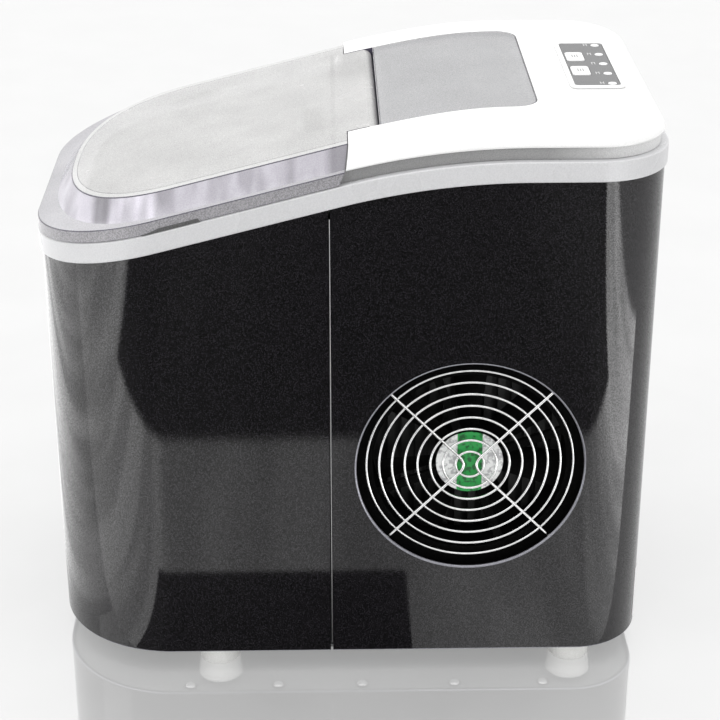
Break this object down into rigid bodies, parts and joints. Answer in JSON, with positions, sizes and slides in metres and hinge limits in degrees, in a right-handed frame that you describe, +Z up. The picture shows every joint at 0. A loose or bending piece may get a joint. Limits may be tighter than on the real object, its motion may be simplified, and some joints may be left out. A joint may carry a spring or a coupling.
{
  "type": "countertop ice maker",
  "caption": "Countertop ice maker with a clear hinged lid, sloping white top, dark metallic case, round side fan vent, bin, basket, tray and cooling parts.",
  "frame": {"origin": "on the floor under the middle of the case", "axes": "+Z up, -Y towards the lid end, +X towards the fan vent side"},
  "size_m": [0.244, 0.366, 0.3539],
  "materials": {
    "metallic_paint": "gloss",
    "white_gloss": "gloss",
    "liner_white": "satin",
    "smoke_clear": "clear gloss",
    "grey_panel": "satin",
    "black_plastic": "satin",
    "chrome_wire": "polished",
    "plain_steel": "satin",
    "copper_tube": "satin",
    "rubber_white": "matte",
    "rubber_black": "matte",
    "foam_white": "matte",
    "board_green": "satin",
    "label_paper": "matte",
    "compressor_paint": "satin"
  },
  "bodies": {
    "case": {"front_shell": "metallic_paint", "rear_shell": "metallic_paint", "seam_strip_left": "plain_steel", "seam_strip_right": "plain_steel", "top_rim": "white_gloss", "rear_top_cover": "white_gloss", "window_pane": "smoke_clear", "hinge_pin_left": "plain_steel", "hinge_pin_right": "plain_steel", "control_bezel": "white_gloss", "control_overlay": "grey_panel", "control_board": "board_green", "inner_liner": "liner_white", "insulation_foam": "foam_white", "ice_sensor_left": "black_plastic", "ice_sensor_right": "black_plastic", "tray_motor": "black_plastic", "evaporator": "plain_steel", "evaporator_bracket": "liner_white", "fan_frame": "black_plastic", "fan_label": "label_paper", "fan_guard": "chrome_wire", "compressor": "compressor_paint", "compressor_terminal_cover": "black_plastic", "condenser": "plain_steel", "filter_dryer": "copper_tube", "discharge_pipe": "copper_tube", "liquid_pipe": "copper_tube", "suction_pipe": "copper_tube", "water_pump": "black_plastic", "water_hose": "rubber_white", "drain_spout": "liner_white", "cord_gland": "black_plastic", "bottom_plate": "plain_steel", "indicator_lens_1": "white_gloss", "indicator_lens_2": "white_gloss", "indicator_lens_3": "white_gloss", "indicator_lens_4": "white_gloss", "indicator_lens_5": "white_gloss", "compressor_grommet_1": "rubber_black", "compressor_grommet_2": "rubber_black", "compressor_grommet_3": "rubber_black", "foot_1": "rubber_white", "foot_screw_1": "plain_steel", "foot_2": "rubber_white", "foot_screw_2": "plain_steel", "foot_3": "rubber_white", "foot_screw_3": "plain_steel", "foot_4": "rubber_white", "foot_screw_4": "plain_steel"},
    "lid": {"lid": "smoke_clear"},
    "fan": {"fan_impeller": "black_plastic"},
    "tray": {"water_tray": "liner_white", "motor_output_shaft": "plain_steel"},
    "shovel": {"ice_shovel": "liner_white"},
    "basket": {"ice_basket": "liner_white"},
    "plug": {"drain_plug": "rubber_white"},
    "power_key": {"power_button": "white_gloss"},
    "select_key": {"select_button": "white_gloss"}
  },
  "joints": [
    {"name": "lid_hinge", "type": "hinge", "parent": "case", "child": "lid", "pos_m": [0, 0.0125, 0.33486], "axis": [-1, 0, 0], "range_deg": [0, 95]},
    {"name": "fan_spin", "type": "hinge", "parent": "case", "child": "fan", "pos_m": [0.0985, 0.0717, 0.1425], "axis": [1, 0, 0], "continuous": true},
    {"name": "power_button_press", "type": "slide", "parent": "case", "child": "power_key", "axis": [0, 0, -1], "range_m": [0, 0.0008], "stiffness_N_per_m": 800, "springref_m": -0.0006},
    {"name": "select_button_press", "type": "slide", "parent": "case", "child": "select_key", "axis": [0, 0, -1], "range_m": [0, 0.0008], "stiffness_N_per_m": 800, "springref_m": -0.0006},
    {"name": "tray_tilt", "type": "hinge", "parent": "case", "child": "tray", "pos_m": [0, 0.054, 0.282], "axis": [1, 0, 0], "range_deg": [0, 60]},
    {"name": "shovel_swing", "type": "hinge", "parent": "case", "child": "shovel", "pos_m": [0, 0.054, 0.282], "axis": [1, 0, 0], "range_deg": [0, 84]},
    {"name": "basket_lift", "type": "slide", "parent": "case", "child": "basket", "axis": [0, 0, 1], "range_m": [0, 0.045]},
    {"name": "drain_plug_pull", "type": "slide", "parent": "case", "child": "plug", "axis": [0, -1, 0], "range_m": [0, 0.02]}
  ],
  "couplings": [
    {"joint": "shovel_swing", "follows": "tray_tilt", "ratio": 1.4}
  ]
}
